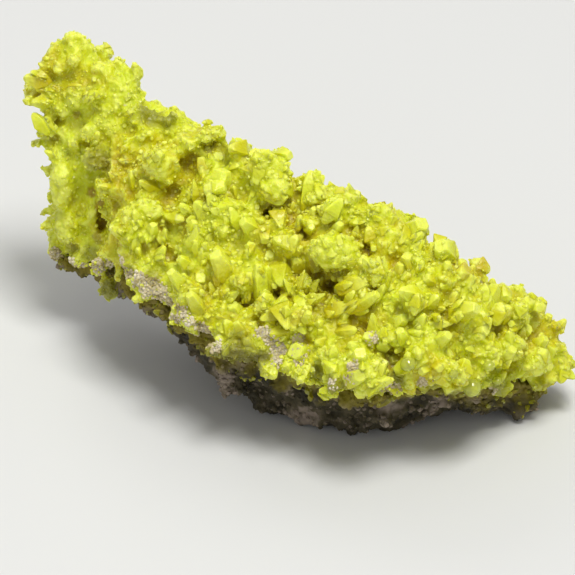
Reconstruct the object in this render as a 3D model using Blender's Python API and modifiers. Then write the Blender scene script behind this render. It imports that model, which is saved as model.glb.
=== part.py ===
"""Native sulfur: a long druse of lemon-yellow crystals on a strip of its host rock.

Two sub-parts are modelled, each one closed solid:
  matrix         the pale host rock, which makes the underside, the lower back and the face it rests on
  sulfur_crust   the sulfur, with its intergrown crystals standing on it
They meet along one wavy surface, with a hairline gap between them.

Lengths are in millimetres until the last step, which scales the meshes to metres. The specimen runs
along X with its tower on the left, it rests on Z = 0, and its crystal face looks towards -Y and up.
Y = 0 is the front edge of the flat it rests on, until the last step centres it over the origin.
"""

import math
import random

import bmesh
import bpy
from mathutils import Matrix, Vector, noise
from mathutils.bvhtree import BVHTree

METRES = 0.001

# Cross-sections of the body, from the tower at the left to the low end at the right. Each has its x,
# then the (y, z) of five corners: the rim below the face, the crest above it, the back, heel and toe.
SECTIONS = (
    (-46.5, (42.0, 16.5), (51.5, 55.5), (59.0, 52.0), (56.0, 20.0), (43.0, 10.5)),
    (-38.0, (33.0, 18.0), (49.0, 56.0), (59.0, 51.0), (56.0, 16.0), (37.5, 11.0)),
    (-32.5, (20.5, 27.0), (46.0, 53.0), (56.0, 47.0), (52.0, 15.0), (22.0, 17.0)),
    (-25.5, (13.5, 26.0), (40.5, 48.5), (51.0, 43.0), (46.0, 11.0), (16.0, 16.0)),
    (-14.5, (0.5, 24.5), (31.0, 50.5), (41.0, 43.5), (38.0, 4.0), (4.5, 11.5)),
    (-7.5, (-3.5, 23.0), (26.5, 48.5), (36.0, 41.0), (33.0, -1.0), (7.0, 4.5)),
    (6.0, (-8.5, 20.5), (21.5, 45.5), (31.0, 37.0), (29.0, -1.0), (4.0, -1.0)),
    (13.5, (-11.5, 20.5), (16.5, 45.5), (28.0, 36.0), (26.0, -1.0), (1.0, -1.0)),
    (22.5, (-10.5, 22.0), (11.0, 44.5), (24.0, 35.0), (23.0, -1.0), (2.0, -1.0)),
    (32.5, (-9.0, 21.5), (3.0, 38.0), (18.0, 31.0), (19.0, 1.0), (2.0, 5.0)),
    (40.5, (-1.0, 13.5), (5.0, 31.0), (18.0, 26.0), (19.0, 1.0), (4.0, 3.0)),
    (47.0, (5.5, 9.0), (10.5, 24.5), (21.0, 22.0), (21.0, -1.0), (6.0, -1.0)),
    (53.0, (10.0, 7.5), (14.0, 17.5), (21.0, 15.5), (20.0, 7.0), (11.0, 5.5)),
)

# Lumps of the body: x, share of the way up the face from rim to crest, how far the centre stands out
# from the face, and the radii along the length, up the face and out of it.
LUMPS = (
    (-42.5, 1.03, -3.0, 4.0, 4.0, 4.0),
    (-46.5, 0.97, -2.0, 2.6, 3.5, 3.0),
    (-49.8, 0.80, -2.0, 3.0, 2.6, 2.6),
    (-48.6, 0.60, -2.0, 2.4, 3.8, 2.6),
    (-33.8, 1.00, -1.5, 5.0, 4.4, 4.0),
    (-41.0, 0.84, -1.5, 6.0, 5.0, 4.5),
    (-43.5, 0.45, -2.0, 4.0, 9.0, 4.0),
    (-44.0, 0.14, -2.0, 4.2, 5.0, 4.0),
    (-23.5, 1.04, -6.0, 5.0, 4.2, 4.5),
    (-26.0, 0.69, -0.5, 5.0, 5.0, 4.6),
    (-28.0, 0.34, -2.0, 6.6, 7.5, 5.5),
    (-17.0, 0.95, -1.5, 6.0, 4.0, 4.0),
    (-4.0, 0.95, -0.5, 5.0, 5.4, 5.0),
    (5.0, 0.97, -1.5, 4.4, 3.8, 4.2),
    (-14.0, 0.62, -2.0, 6.0, 5.0, 4.5),
    (-17.0, 0.38, -1.5, 6.0, 6.0, 4.5),
    (-7.0, 0.45, -2.0, 6.0, 5.0, 4.5),
    (4.0, 0.70, -1.5, 5.5, 5.0, 4.0),
    (10.5, 0.72, -0.5, 5.0, 4.8, 4.5),
    (11.5, 0.94, -1.5, 5.0, 4.2, 4.2),
    (17.0, 0.62, -1.0, 4.6, 5.0, 4.0),
    (25.0, 0.55, -1.0, 6.0, 5.0, 4.0),
    (21.5, 0.90, -2.0, 5.0, 4.0, 4.0),
    (30.0, 0.88, -2.0, 5.0, 4.0, 4.0),
    (35.0, 0.62, -1.5, 4.6, 4.6, 4.0),
    (-27.0, 0.08, -2.5, 6.0, 5.0, 4.5),
    (-17.0, 0.10, -2.0, 6.5, 5.0, 4.5),
    (-5.0, 0.16, -2.5, 7.0, 5.0, 4.5),
    (3.0, 0.30, -2.0, 6.0, 5.0, 4.5),
    (13.5, 0.12, -1.0, 6.5, 6.0, 4.5),
    (26.0, 0.22, -1.0, 6.0, 6.0, 4.5),
    (37.0, 0.28, -1.5, 5.0, 5.0, 4.0),
    (44.0, 0.78, -2.0, 4.5, 4.0, 4.0),
    (47.0, 0.40, -1.5, 5.0, 4.5, 4.0),
    (52.0, 0.55, -1.5, 4.0, 4.5, 4.0),
    (54.0, 0.20, -2.5, 3.0, 3.0, 3.2),
)

# Knobs of host rock under the body: centre and radius. They are cut off flat where they meet Z = 0.
KNOBS = (
    (-10.0, 6.5, 11.0, 5.0),
    (-2.0, 10.0, 3.5, 5.0),
    (6.0, 3.0, 5.5, 5.0),
    (13.5, 3.5, 3.0, 4.6),
    (19.0, -1.0, 9.0, 5.0),
    (25.0, 4.0, 5.0, 5.0),
    (33.0, 9.0, 6.5, 4.6),
    (41.0, 9.0, 5.0, 4.6),
    (47.0, 9.5, 3.5, 4.6),
    (30.0, 17.0, 3.5, 5.0),
    (8.0, 26.0, 4.0, 6.0),
    (-12.0, 31.0, 5.0, 6.5),
    (-24.0, 38.0, 16.0, 6.5),
    (-36.0, 46.0, 20.0, 6.5),
    (-20.0, 16.5, 19.0, 4.6),
    (-30.0, 26.0, 20.0, 4.6),
    (-42.0, 42.0, 15.0, 4.6),
    (-40.0, 54.0, 28.0, 6.0),
    (-27.0, 48.0, 26.0, 6.5),
    (-14.0, 38.0, 25.0, 6.5),
    (1.0, 31.0, 15.0, 6.5),
    (13.0, 27.0, 24.0, 6.0),
    (25.0, 21.0, 14.0, 6.0),
    (38.0, 18.0, 12.0, 5.5),
)

# Pits in the face: x, share up the face, and the radii along the length, up the face and into it.
PITS = (
    (-37.2, 0.24, 1.5, 3.6, 7.0),
    (-39.2, 0.37, 0.9, 1.3, 30.0),
    (-41.7, 0.69, 1.1, 1.1, 5.0),
    (-17.5, 0.83, 4.6, 2.2, 3.2),
    (-19.7, 0.82, 1.5, 1.8, 6.0),
    (-8.7, 0.81, 0.9, 0.9, 8.0),
    (-2.8, 0.77, 2.8, 1.5, 5.0),
    (0.0, 0.52, 3.2, 0.9, 5.0),
    (9.0, 0.50, 1.6, 2.4, 5.0),
    (20.0, 0.17, 1.8, 2.2, 5.0),
)

# The largest crystals: x, share up the face, lean along X and up the face, half-width, length.
LEADING_CRYSTALS = (
    (-51.0, 0.80, -0.9, 0.3, 1.8, 4.2),
    (-50.5, 0.57, -0.9, 0.7, 1.3, 4.5),
    (-42.9, 1.02, 0.0, 0.9, 2.4, 4.6),
    (-32.0, 0.66, -0.9, 0.1, 1.6, 5.0),
    (-30.5, 0.55, -0.2, 0.9, 1.2, 4.4),
    (-32.0, 0.48, -0.3, 0.8, 1.1, 4.0),
    (-14.0, 0.72, 0.1, 0.4, 2.6, 5.5),
    (-18.0, 0.44, -0.2, 0.6, 2.4, 5.6),
    (-7.5, 0.50, 0.2, 0.3, 2.2, 5.0),
    (-5.2, 0.38, -0.1, 0.8, 2.0, 7.0),
    (4.0, 0.88, 0.2, 0.8, 1.8, 6.5),
    (3.0, 0.45, 0.3, 0.7, 2.0, 6.0),
    (6.5, 0.52, 0.4, 0.9, 1.8, 6.0),
    (17.0, 0.63, 0.1, 0.6, 2.2, 6.0),
    (19.5, 0.60, 0.1, 0.9, 1.2, 5.6),
    (15.5, 0.48, -0.2, 0.3, 2.6, 5.6),
    (25.5, 0.52, 0.1, 0.4, 3.2, 5.8),
    (35.0, 0.66, 0.3, 0.5, 2.8, 5.0),
    (46.0, 0.98, 0.4, 0.9, 1.8, 4.6),
    (54.5, 0.60, 0.9, 0.2, 1.8, 4.2),
)

# Where the rock ends and the sulfur starts: (x, z) along the rim, then its rise towards the back,
# the height of its waves, and the gap that parts the two solids there.
PARTING = (
    (-70.0, 15.0), (-45.0, 15.5), (-38.0, 17.0), (-33.0, 24.0), (-25.0, 23.0), (-14.0, 21.5),
    (-7.0, 20.0), (6.0, 17.5), (14.0, 16.5), (22.0, 16.0), (32.0, 15.5), (38.0, 12.5), (41.0, 11.0),
    (48.0, 7.5), (55.0, 6.5), (70.0, 6.0),
)
PARTING_RISE = 0.22
PARTING_WAVE = 1.6
PARTING_WAVES_PER_MM = 0.11
PARTING_GAP = 0.3
PARTING_HALF_SIZE = 72.0
PARTING_MIDDLE_Y = 20.0
PARTING_STEPS = 48

RIM = 1  # places of the corners in a cross-section
CREST = 2

BODY_VOXEL = 1.0
PIT_VOXEL = 0.6  # fine enough to keep the narrowest pit open
BODY_TRIANGLES = 1700
ROUGHNESS = 1.3
COARSE_LUMPS_PER_MM = 0.16
FINE_LUMPS_PER_MM = 0.42
FINE_SHARE = 0.8

SEED = 29
SCATTER_TRIES = 6000
CRYSTAL_SPACING = 6.0
CRYSTAL_WIDTH = (1.9, 3.1)
CRYSTAL_LENGTH = (4.4, 6.6)
CRYSTAL_BLUNTNESS = (0.1, 0.5)  # width of the tip, as a share of the crystal's own
CRYSTAL_LEAN = 0.5
CRYSTAL_SUNK = 0.56  # share of a crystal's length that is inside the body
CRYSTAL_MARGIN = 1.2  # scattered crystals keep this far above the rock
LEADING_SUNK = 0.36
LEADING_BLUNTNESS = 0.16
LEADING_MARGIN = 1.6
AXIS_RATIO = 0.81  # sulfur is orthorhombic: its a axis is shorter than its b axis
WAIST = 0.5  # a dipyramid is widest half way up
SLIVER = 0.02

REACH = 200.0  # further than the specimen reaches in any direction
X_AXIS = Vector((1.0, 0.0, 0.0))
Y_AXIS = Vector((0.0, 1.0, 0.0))
Z_AXIS = Vector((0.0, 0.0, 1.0))

YELLOW = (0.62, 0.66, 0.045)
YELLOW_ROUGHNESS = 0.35
SULFUR_IOR = 1.96
ROCK_GREY = (0.36, 0.32, 0.26)
ROCK_ROUGHNESS = 0.85
ROCK_IOR = 1.5


def clear_scene():
    for thing in list(bpy.data.objects):
        bpy.data.objects.remove(thing, do_unlink=True)


def new_collection(name):
    collection = bpy.data.collections.new(name)
    bpy.context.scene.collection.children.link(collection)
    return collection


def new_object(name, mesh_builder, collection):
    mesh = bpy.data.meshes.new(name)
    mesh_builder.to_mesh(mesh)
    mesh_builder.free()
    thing = bpy.data.objects.new(name, mesh)
    collection.objects.link(thing)
    return thing


def bake(thing, kind, **settings):
    """Adds one modifier with these settings and applies it."""
    modifier = thing.modifiers.new(kind, kind)
    for setting, value in settings.items():
        setattr(modifier, setting, value)
    evaluated = thing.evaluated_get(bpy.context.evaluated_depsgraph_get())
    mesh = bpy.data.meshes.new_from_object(evaluated)
    thing.modifiers.clear()
    thing.data = mesh


def boolean(thing, cutter, operation, **settings):
    bake(thing, "BOOLEAN", object=cutter, operation=operation, solver="EXACT", **settings)


def along(pairs, x):
    """Straight-line reading of (x, value) pairs."""
    for (x0, value0), (x1, value1) in zip(pairs, pairs[1:]):
        if x <= x1:
            share = max(0.0, (x - x0) / (x1 - x0))
            return value0 + (value1 - value0) * share
    return pairs[-1][1]


def corner(x, place):
    """The (x, y, z) of one corner of the cross-section at x."""
    y = along([(section[0], section[place][0]) for section in SECTIONS], x)
    z = along([(section[0], section[place][1]) for section in SECTIONS], x)
    return Vector((x, y, z))


def face_axes(x):
    """Unit vectors along the specimen, up its face and out of its face, at x."""
    up = (corner(x, CREST) - corner(x, RIM)).normalized()
    return X_AXIS, up, X_AXIS.cross(up)


def on_face(x, share, lift=0.0):
    out = face_axes(x)[2]
    return corner(x, RIM).lerp(corner(x, CREST), share) + out * lift


def add_ellipsoid(builder, centre, axes, radii):
    turn = Matrix(axes).transposed().to_4x4()
    size = Matrix.Diagonal((*radii, 1.0))
    matrix = Matrix.Translation(centre) @ turn @ size
    bmesh.ops.create_icosphere(builder, subdivisions=2, radius=1.0, matrix=matrix)


def add_hull(builder, points):
    corners = [builder.verts.new(point) for point in points]
    hull = bmesh.ops.convex_hull(builder, input=corners)
    spare = [item for item in hull["geom_interior"] if isinstance(item, bmesh.types.BMVert)]
    bmesh.ops.delete(builder, geom=spare, context="VERTS")


def section_points(section):
    x = section[0]
    return [Vector((x, y, z)) for y, z in section[1:]]


def body_object(collection):
    """The whole specimen without its crystals, as a rough closed solid with a flat base."""
    builder = bmesh.new()
    for left, right in zip(SECTIONS, SECTIONS[1:]):
        add_hull(builder, section_points(left) + section_points(right))
    for x, share, lift, wide, tall, deep in LUMPS:
        add_ellipsoid(builder, on_face(x, share, lift), face_axes(x), (wide, tall, deep))
    for x, y, z, radius in KNOBS:
        axes = (X_AXIS, Y_AXIS, Z_AXIS)
        add_ellipsoid(builder, Vector((x, y, z)), axes, (radius, radius, radius))
    body = new_object("body", builder, collection)
    bake(body, "REMESH", mode="VOXEL", voxel_size=BODY_VOXEL)
    bake(body, "SMOOTH", factor=0.5, iterations=2)
    roughen(body)
    boolean(body, pits_object(collection), "DIFFERENCE", use_self=True)
    bake(body, "REMESH", mode="VOXEL", voxel_size=PIT_VOXEL)
    keep_largest(body)
    bake(body, "DECIMATE", ratio=BODY_TRIANGLES / triangle_count(body))
    floor = box_object("floor", (-REACH, -REACH, -REACH), (REACH, REACH, 0.0), collection)
    boolean(body, floor, "DIFFERENCE")
    return body


def roughen(thing):
    """Pushes the surface in and out along its normals, in lumps of two sizes."""
    vertices = thing.data.vertices
    normals = [vertex.normal.copy() for vertex in vertices]
    for vertex, normal in zip(vertices, normals):
        coarse = noise.noise(vertex.co * COARSE_LUMPS_PER_MM)
        fine = noise.noise(vertex.co * FINE_LUMPS_PER_MM)
        vertex.co += normal * ROUGHNESS * (coarse + FINE_SHARE * fine)


def pits_object(collection):
    builder = bmesh.new()
    for x, share, wide, tall, deep in PITS:
        add_ellipsoid(builder, on_face(x, share), face_axes(x), (wide, tall, deep))
    return new_object("pits", builder, collection)


def triangle_count(thing):
    return sum(len(face.vertices) - 2 for face in thing.data.polygons)


def crystal_points(width, length, blunt):
    """Corners of an orthorhombic dipyramid with a blunted tip, standing on its point at the origin."""
    points = [Vector((0.0, 0.0, 0.0))]
    for height, reach in ((WAIST, 1.0), (1.0, blunt)):
        for side in (X_AXIS, -X_AXIS, Y_AXIS * AXIS_RATIO, -Y_AXIS * AXIS_RATIO):
            points.append(side * width * reach + Z_AXIS * height * length)
    return points


def add_crystal(builder, seat, axis, size, sunk, twist):
    width, length, blunt = size
    turn = axis.to_track_quat("Z", "Y").to_matrix().to_4x4() @ Matrix.Rotation(twist, 4, "Z")
    place = Matrix.Translation(seat - axis * length * sunk) @ turn
    add_hull(builder, [place @ point for point in crystal_points(width, length, blunt)])


def parting_height(x, y):
    spot = Vector((x, y, 0.0)) * PARTING_WAVES_PER_MM
    rise = PARTING_RISE * (y - corner(x, RIM).y)
    return along(PARTING, x) + rise + PARTING_WAVE * noise.noise(spot)


def scattered_seats(body, dice):
    """Points and normals spread evenly over the sulfur's part of the body."""
    mesh = body.data
    mesh.calc_loop_triangles()
    triangles = mesh.loop_triangles
    areas = [triangle.area for triangle in triangles]
    seats = []
    for triangle in dice.choices(triangles, weights=areas, k=SCATTER_TRIES):
        a, b, c = (mesh.vertices[place].co for place in triangle.vertices)
        u, v = sorted((dice.random(), dice.random()))
        point = a * u + b * (v - u) + c * (1.0 - v)
        above = point.z - parting_height(point.x, point.y)
        crowded = any((point - other).length < CRYSTAL_SPACING for other, _ in seats)
        if above > CRYSTAL_MARGIN and not crowded:
            seats.append((point, triangle.normal.copy()))
    return seats


def crystals_object(body, collection):
    dice = random.Random(SEED)
    builder = bmesh.new()
    surface = BVHTree.FromObject(body, bpy.context.evaluated_depsgraph_get())
    taken = []
    for x, share, lean_x, lean_up, width, length in LEADING_CRYSTALS:
        _, up, out = face_axes(x)
        seat = surface.ray_cast(on_face(x, share, REACH), -out)[0]
        if seat is None:
            seat = surface.find_nearest(on_face(x, share))[0]
        axis = (out + X_AXIS * lean_x + up * lean_up).normalized()
        size = (width, length, LEADING_BLUNTNESS)
        add_crystal(builder, seat, axis, size, LEADING_SUNK, dice.uniform(0.0, math.pi))
        taken.append((seat, width + LEADING_MARGIN))
    for seat, normal in scattered_seats(body, dice):
        if any((seat - other).length < room for other, room in taken):
            continue
        lean = Vector([dice.uniform(-CRYSTAL_LEAN, CRYSTAL_LEAN) for _ in range(3)])
        ranges = (CRYSTAL_WIDTH, CRYSTAL_LENGTH, CRYSTAL_BLUNTNESS)
        size = [dice.uniform(low, high) for low, high in ranges]
        axis = (normal + lean).normalized()
        add_crystal(builder, seat, axis, size, CRYSTAL_SUNK, dice.uniform(0.0, math.pi))
    return new_object("crystals", builder, collection)


def parting_block(name, offset, far_level, collection):
    """A block between the parting surface, moved by offset, and a far level above or below it."""
    builder = bmesh.new()
    bmesh.ops.create_grid(
        builder, x_segments=PARTING_STEPS, y_segments=PARTING_STEPS, size=PARTING_HALF_SIZE
    )
    for vertex in builder.verts:
        vertex.co.y += PARTING_MIDDLE_Y
        vertex.co.z = parting_height(vertex.co.x, vertex.co.y) + offset
    grown = bmesh.ops.extrude_face_region(builder, geom=list(builder.faces))
    for item in grown["geom"]:
        if isinstance(item, bmesh.types.BMVert):
            item.co.z = far_level
    bmesh.ops.recalc_face_normals(builder, faces=builder.faces)
    return new_object(name, builder, collection)


def box_object(name, low, high, collection):
    builder = bmesh.new()
    middle = (Vector(low) + Vector(high)) / 2.0
    size = Vector(high) - Vector(low)
    matrix = Matrix.Translation(middle) @ Matrix.Diagonal((*size, 1.0))
    bmesh.ops.create_cube(builder, size=1.0, matrix=matrix)
    return new_object(name, builder, collection)


def shells_of(builder):
    """Sets of faces that are joined through their edges."""
    left = set(builder.faces)
    while left:
        shell = set()
        waiting = [left.pop()]
        while waiting:
            face = waiting.pop()
            shell.add(face)
            for edge in face.edges:
                beyond = [other for other in edge.link_faces if other in left]
                left.difference_update(beyond)
                waiting.extend(beyond)
        yield shell


def keep_largest(thing):
    """Drops every loose scrap but the largest."""
    builder = bmesh.new()
    builder.from_mesh(thing.data)
    shells = sorted(shells_of(builder), key=len)
    scraps = [face for shell in shells[:-1] for face in shell]
    bmesh.ops.delete(builder, geom=scraps, context="FACES")
    builder.to_mesh(thing.data)
    builder.free()


def clean_facets(thing):
    """Triangles only, with no slivers."""
    builder = bmesh.new()
    builder.from_mesh(thing.data)
    bmesh.ops.triangulate(builder, faces=builder.faces)
    bmesh.ops.remove_doubles(builder, verts=builder.verts, dist=SLIVER)
    bmesh.ops.dissolve_degenerate(builder, edges=builder.edges, dist=SLIVER)
    bmesh.ops.triangulate(builder, faces=builder.faces)
    builder.to_mesh(thing.data)
    builder.free()


def principled(name, colour, roughness, ior):
    material = bpy.data.materials.new(name)
    material.use_nodes = True
    shader = material.node_tree.nodes["Principled BSDF"]
    shader.inputs["Base Color"].default_value = (*colour, 1.0)
    shader.inputs["Roughness"].default_value = roughness
    shader.inputs["Metallic"].default_value = 0.0
    shader.inputs["IOR"].default_value = ior
    return material


def copy_of(thing, name, collection):
    other = bpy.data.objects.new(name, thing.data.copy())
    collection.objects.link(other)
    return other


def cut_sub_part(name, thing, block, material):
    """Keeps what is inside the block, as one clean solid with its own material."""
    boolean(thing, block, "INTERSECT")
    clean_facets(thing)
    keep_largest(thing)
    thing.data.name = name
    thing.data.materials.clear()
    thing.data.materials.append(material)


def centre_in_metres(things):
    """Puts the middle of the specimen's box over the origin, and scales millimetres to metres."""
    corners = [vertex.co for thing in things for vertex in thing.data.vertices]
    middle = Vector((0.0, 0.0, 0.0))
    for axis in range(2):
        levels = [point[axis] for point in corners]
        middle[axis] = (min(levels) + max(levels)) / 2.0
    for thing in things:
        thing.data.transform(Matrix.Scale(METRES, 4) @ Matrix.Translation(-middle))


def main():
    clear_scene()
    specimen = new_collection("native_sulfur")
    tools = new_collection("cutters")
    body = body_object(tools)
    crystals = crystals_object(body, tools)

    crust = copy_of(body, "sulfur_crust", specimen)
    boolean(crust, crystals, "UNION", use_self=True)
    above = parting_block("above", PARTING_GAP / 2.0, REACH, tools)
    yellow = principled("sulfur", YELLOW, YELLOW_ROUGHNESS, SULFUR_IOR)
    cut_sub_part("sulfur_crust", crust, above, yellow)

    rock = copy_of(body, "matrix", specimen)
    below = parting_block("below", -PARTING_GAP / 2.0, -REACH, tools)
    grey = principled("matrix", ROCK_GREY, ROCK_ROUGHNESS, ROCK_IOR)
    cut_sub_part("matrix", rock, below, grey)

    centre_in_metres((crust, rock))
    for cutter in tools.objects:
        cutter.hide_render = True
        cutter.display_type = "WIRE"


main()
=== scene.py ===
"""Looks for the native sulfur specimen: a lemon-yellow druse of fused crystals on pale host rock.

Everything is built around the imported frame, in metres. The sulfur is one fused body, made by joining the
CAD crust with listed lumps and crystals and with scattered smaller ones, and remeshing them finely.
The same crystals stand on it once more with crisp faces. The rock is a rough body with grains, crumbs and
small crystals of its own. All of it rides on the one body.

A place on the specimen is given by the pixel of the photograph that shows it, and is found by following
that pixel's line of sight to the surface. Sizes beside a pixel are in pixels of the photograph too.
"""

import math

import bmesh
import bpy
import numpy as np
from mathutils import Matrix, Vector, noise
from mathutils.bvhtree import BVHTree
from mathutils.kdtree import KDTree


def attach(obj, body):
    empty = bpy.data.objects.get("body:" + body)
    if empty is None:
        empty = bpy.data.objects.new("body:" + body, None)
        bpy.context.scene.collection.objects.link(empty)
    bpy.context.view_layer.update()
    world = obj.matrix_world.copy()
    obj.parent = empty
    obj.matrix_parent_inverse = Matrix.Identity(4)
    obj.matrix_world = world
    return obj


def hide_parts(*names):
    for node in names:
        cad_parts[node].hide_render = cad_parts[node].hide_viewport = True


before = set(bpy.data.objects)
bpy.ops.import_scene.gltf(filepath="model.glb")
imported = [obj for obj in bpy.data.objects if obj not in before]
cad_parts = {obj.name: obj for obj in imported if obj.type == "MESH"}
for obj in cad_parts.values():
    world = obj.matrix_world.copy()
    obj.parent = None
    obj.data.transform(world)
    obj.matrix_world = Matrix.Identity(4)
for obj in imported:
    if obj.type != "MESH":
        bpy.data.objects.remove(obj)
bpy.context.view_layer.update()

MM = 0.001
BODY = "root"
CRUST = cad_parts["sulfur_crust"]
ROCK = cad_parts["matrix"]

# The camera looks down at the crystal face from far off, so the view is nearly parallel.
PHOTO_SIDE = 575
PIXEL = 0.2 * MM
ELEVATION = math.radians(35.0)
CAMERA_DISTANCE = 2.4
SENSOR = 36.0
# The point of the rest plane under the specimen's front, and the photograph's pixel that it falls on.
FRONT_POINT = Vector((-1.645, -23.816, 0.0)) * MM
FRONT_PIXEL = (287.5, 437.0)

# Voxels of the remeshed forms, from the first to the finest, and the triangles that are kept.
FORM_VOXEL = 0.6 * MM
BASE_VOXEL = 0.45 * MM
BODY_VOXEL = 0.33 * MM
BODY_TRIANGLES = 190000.0
ROCK_TRIANGLES = 120000.0

VIEW_RIGHT = Vector((1.0, 0.0, 0.0))
VIEW_UP = Vector((0.0, math.sin(ELEVATION), math.cos(ELEVATION)))
VIEW_BACK = Vector((0.0, -math.cos(ELEVATION), math.sin(ELEVATION)))

# Lumps: pixel across, pixel down, half-width, half-height, turn in degrees, share that stands out.
LUMPS = (
    # the tower, from its top to its neck, with the roots of the blades at its left edge
    (74, 38, 12, 8, 0, 0.0), (58, 50, 13, 9, 30, 0.0), (46, 66, 9, 10, 0, 0.0),
    (103, 53, 11, 9, -30, 0.0), (120, 65, 8, 9, 0, 0.0), (133, 81, 7, 8, 0, 0.0),
    (66, 66, 15, 10, 10, 0.1), (43, 80, 12, 9, 0, 0.0), (48, 101, 11, 8, 0, 0.0),
    (46, 125, 11, 11, 0, 0.0), (101, 72, 15, 12, 0, 0.1), (92, 96, 9, 7, 20, 0.2),
    (62, 108, 9, 12, 10, 0.1), (117, 104, 10, 13, 0, 0.0), (94, 131, 15, 11, 0, 0.2),
    (68, 133, 11, 10, 0, 0.2), (98, 159, 15, 13, 0, 0.1),
    # the column under the tower, and the lobes at its foot
    (60, 153, 11, 13, 0, 0.35), (63, 182, 14, 28, 0, 0.45), (67, 222, 14, 24, 2, 0.45),
    (50, 152, 5, 6, 0, 0.0), (53, 195, 5, 6, 0, 0.0), (86, 252, 7, 7, 0, 0.3),
    (61, 247, 13, 14, 0, 0.2), (79, 257, 12, 10, 0, 0.2),
    # the ridge and the wall to the right of the tower
    (143, 96, 6, 6, 0, 0.0), (152, 104, 6, 6, 0, 0.0), (161, 111, 6, 6, 0, 0.0),
    (172, 118, 8, 7, 0, 0.0), (150, 117, 13, 9, -35, 0.0), (192, 129, 8, 6, 0, 0.0),
    (216, 135, 12, 8, 0, 0.1), (235, 146, 7, 7, 0, 0.0),
    # the big drop, the hollow beside it and the left lobe
    (146, 136, 12, 9, 0, 0.4), (128, 140, 7, 7, 0, 0.3), (162, 164, 21, 18, -10, 0.55),
    (188, 164, 13, 12, 0, 0.5), (150, 212, 21, 14, -20, 0.25), (131, 226, 20, 20, 0, 0.35),
    (130, 252, 14, 12, 0, 0.1), (119, 272, 5, 12, 0, 0.2), (110, 288, 10, 12, 20, 0.1),
    # the skyline, from the middle to the right end
    (268, 166, 22, 13, -15, 0.1), (276, 187, 15, 15, 0, 0.3), (252, 170, 10, 9, 0, 0.2),
    (331, 196, 14, 12, -20, 0.1), (334, 208, 15, 12, 0, 0.2), (382, 217, 15, 14, -30, 0.1),
    (400, 225, 7, 8, 0, 0.0), (414, 240, 9, 9, 0, 0.0), (444, 256, 12, 6, -25, 0.0),
    (463, 280, 14, 11, -20, 0.1), (498, 292, 15, 8, -15, 0.0), (531, 303, 10, 8, -30, 0.0),
    (552, 330, 9, 13, 0, 0.0), (560, 368, 11, 13, 0, 0.0), (541, 384, 14, 7, 15, 0.0),
    # the frill and the great lump
    (285, 243, 17, 15, 0, 0.1), (316, 226, 20, 12, -15, 0.2), (336, 252, 28, 19, -5, 0.15),
    (388, 248, 18, 12, -15, 0.0),
    # the middle and the front, from left to right
    (226, 215, 14, 15, 20, 0.1), (258, 232, 16, 14, 0, 0.1), (190, 296, 20, 17, -50, 0.15),
    (238, 350, 33, 11, -2, 0.2), (296, 317, 17, 12, 0, 0.2), (336, 379, 9, 13, 0, 0.1),
    (364, 372, 20, 16, -30, 0.1),
    # the right part
    (400, 340, 28, 14, -10, 0.0), (440, 368, 30, 14, -15, 0.15), (455, 387, 14, 8, 20, 0.1),
    (505, 345, 24, 16, -20, 0.1), (530, 360, 22, 17, 0, 0.1),
)

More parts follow.
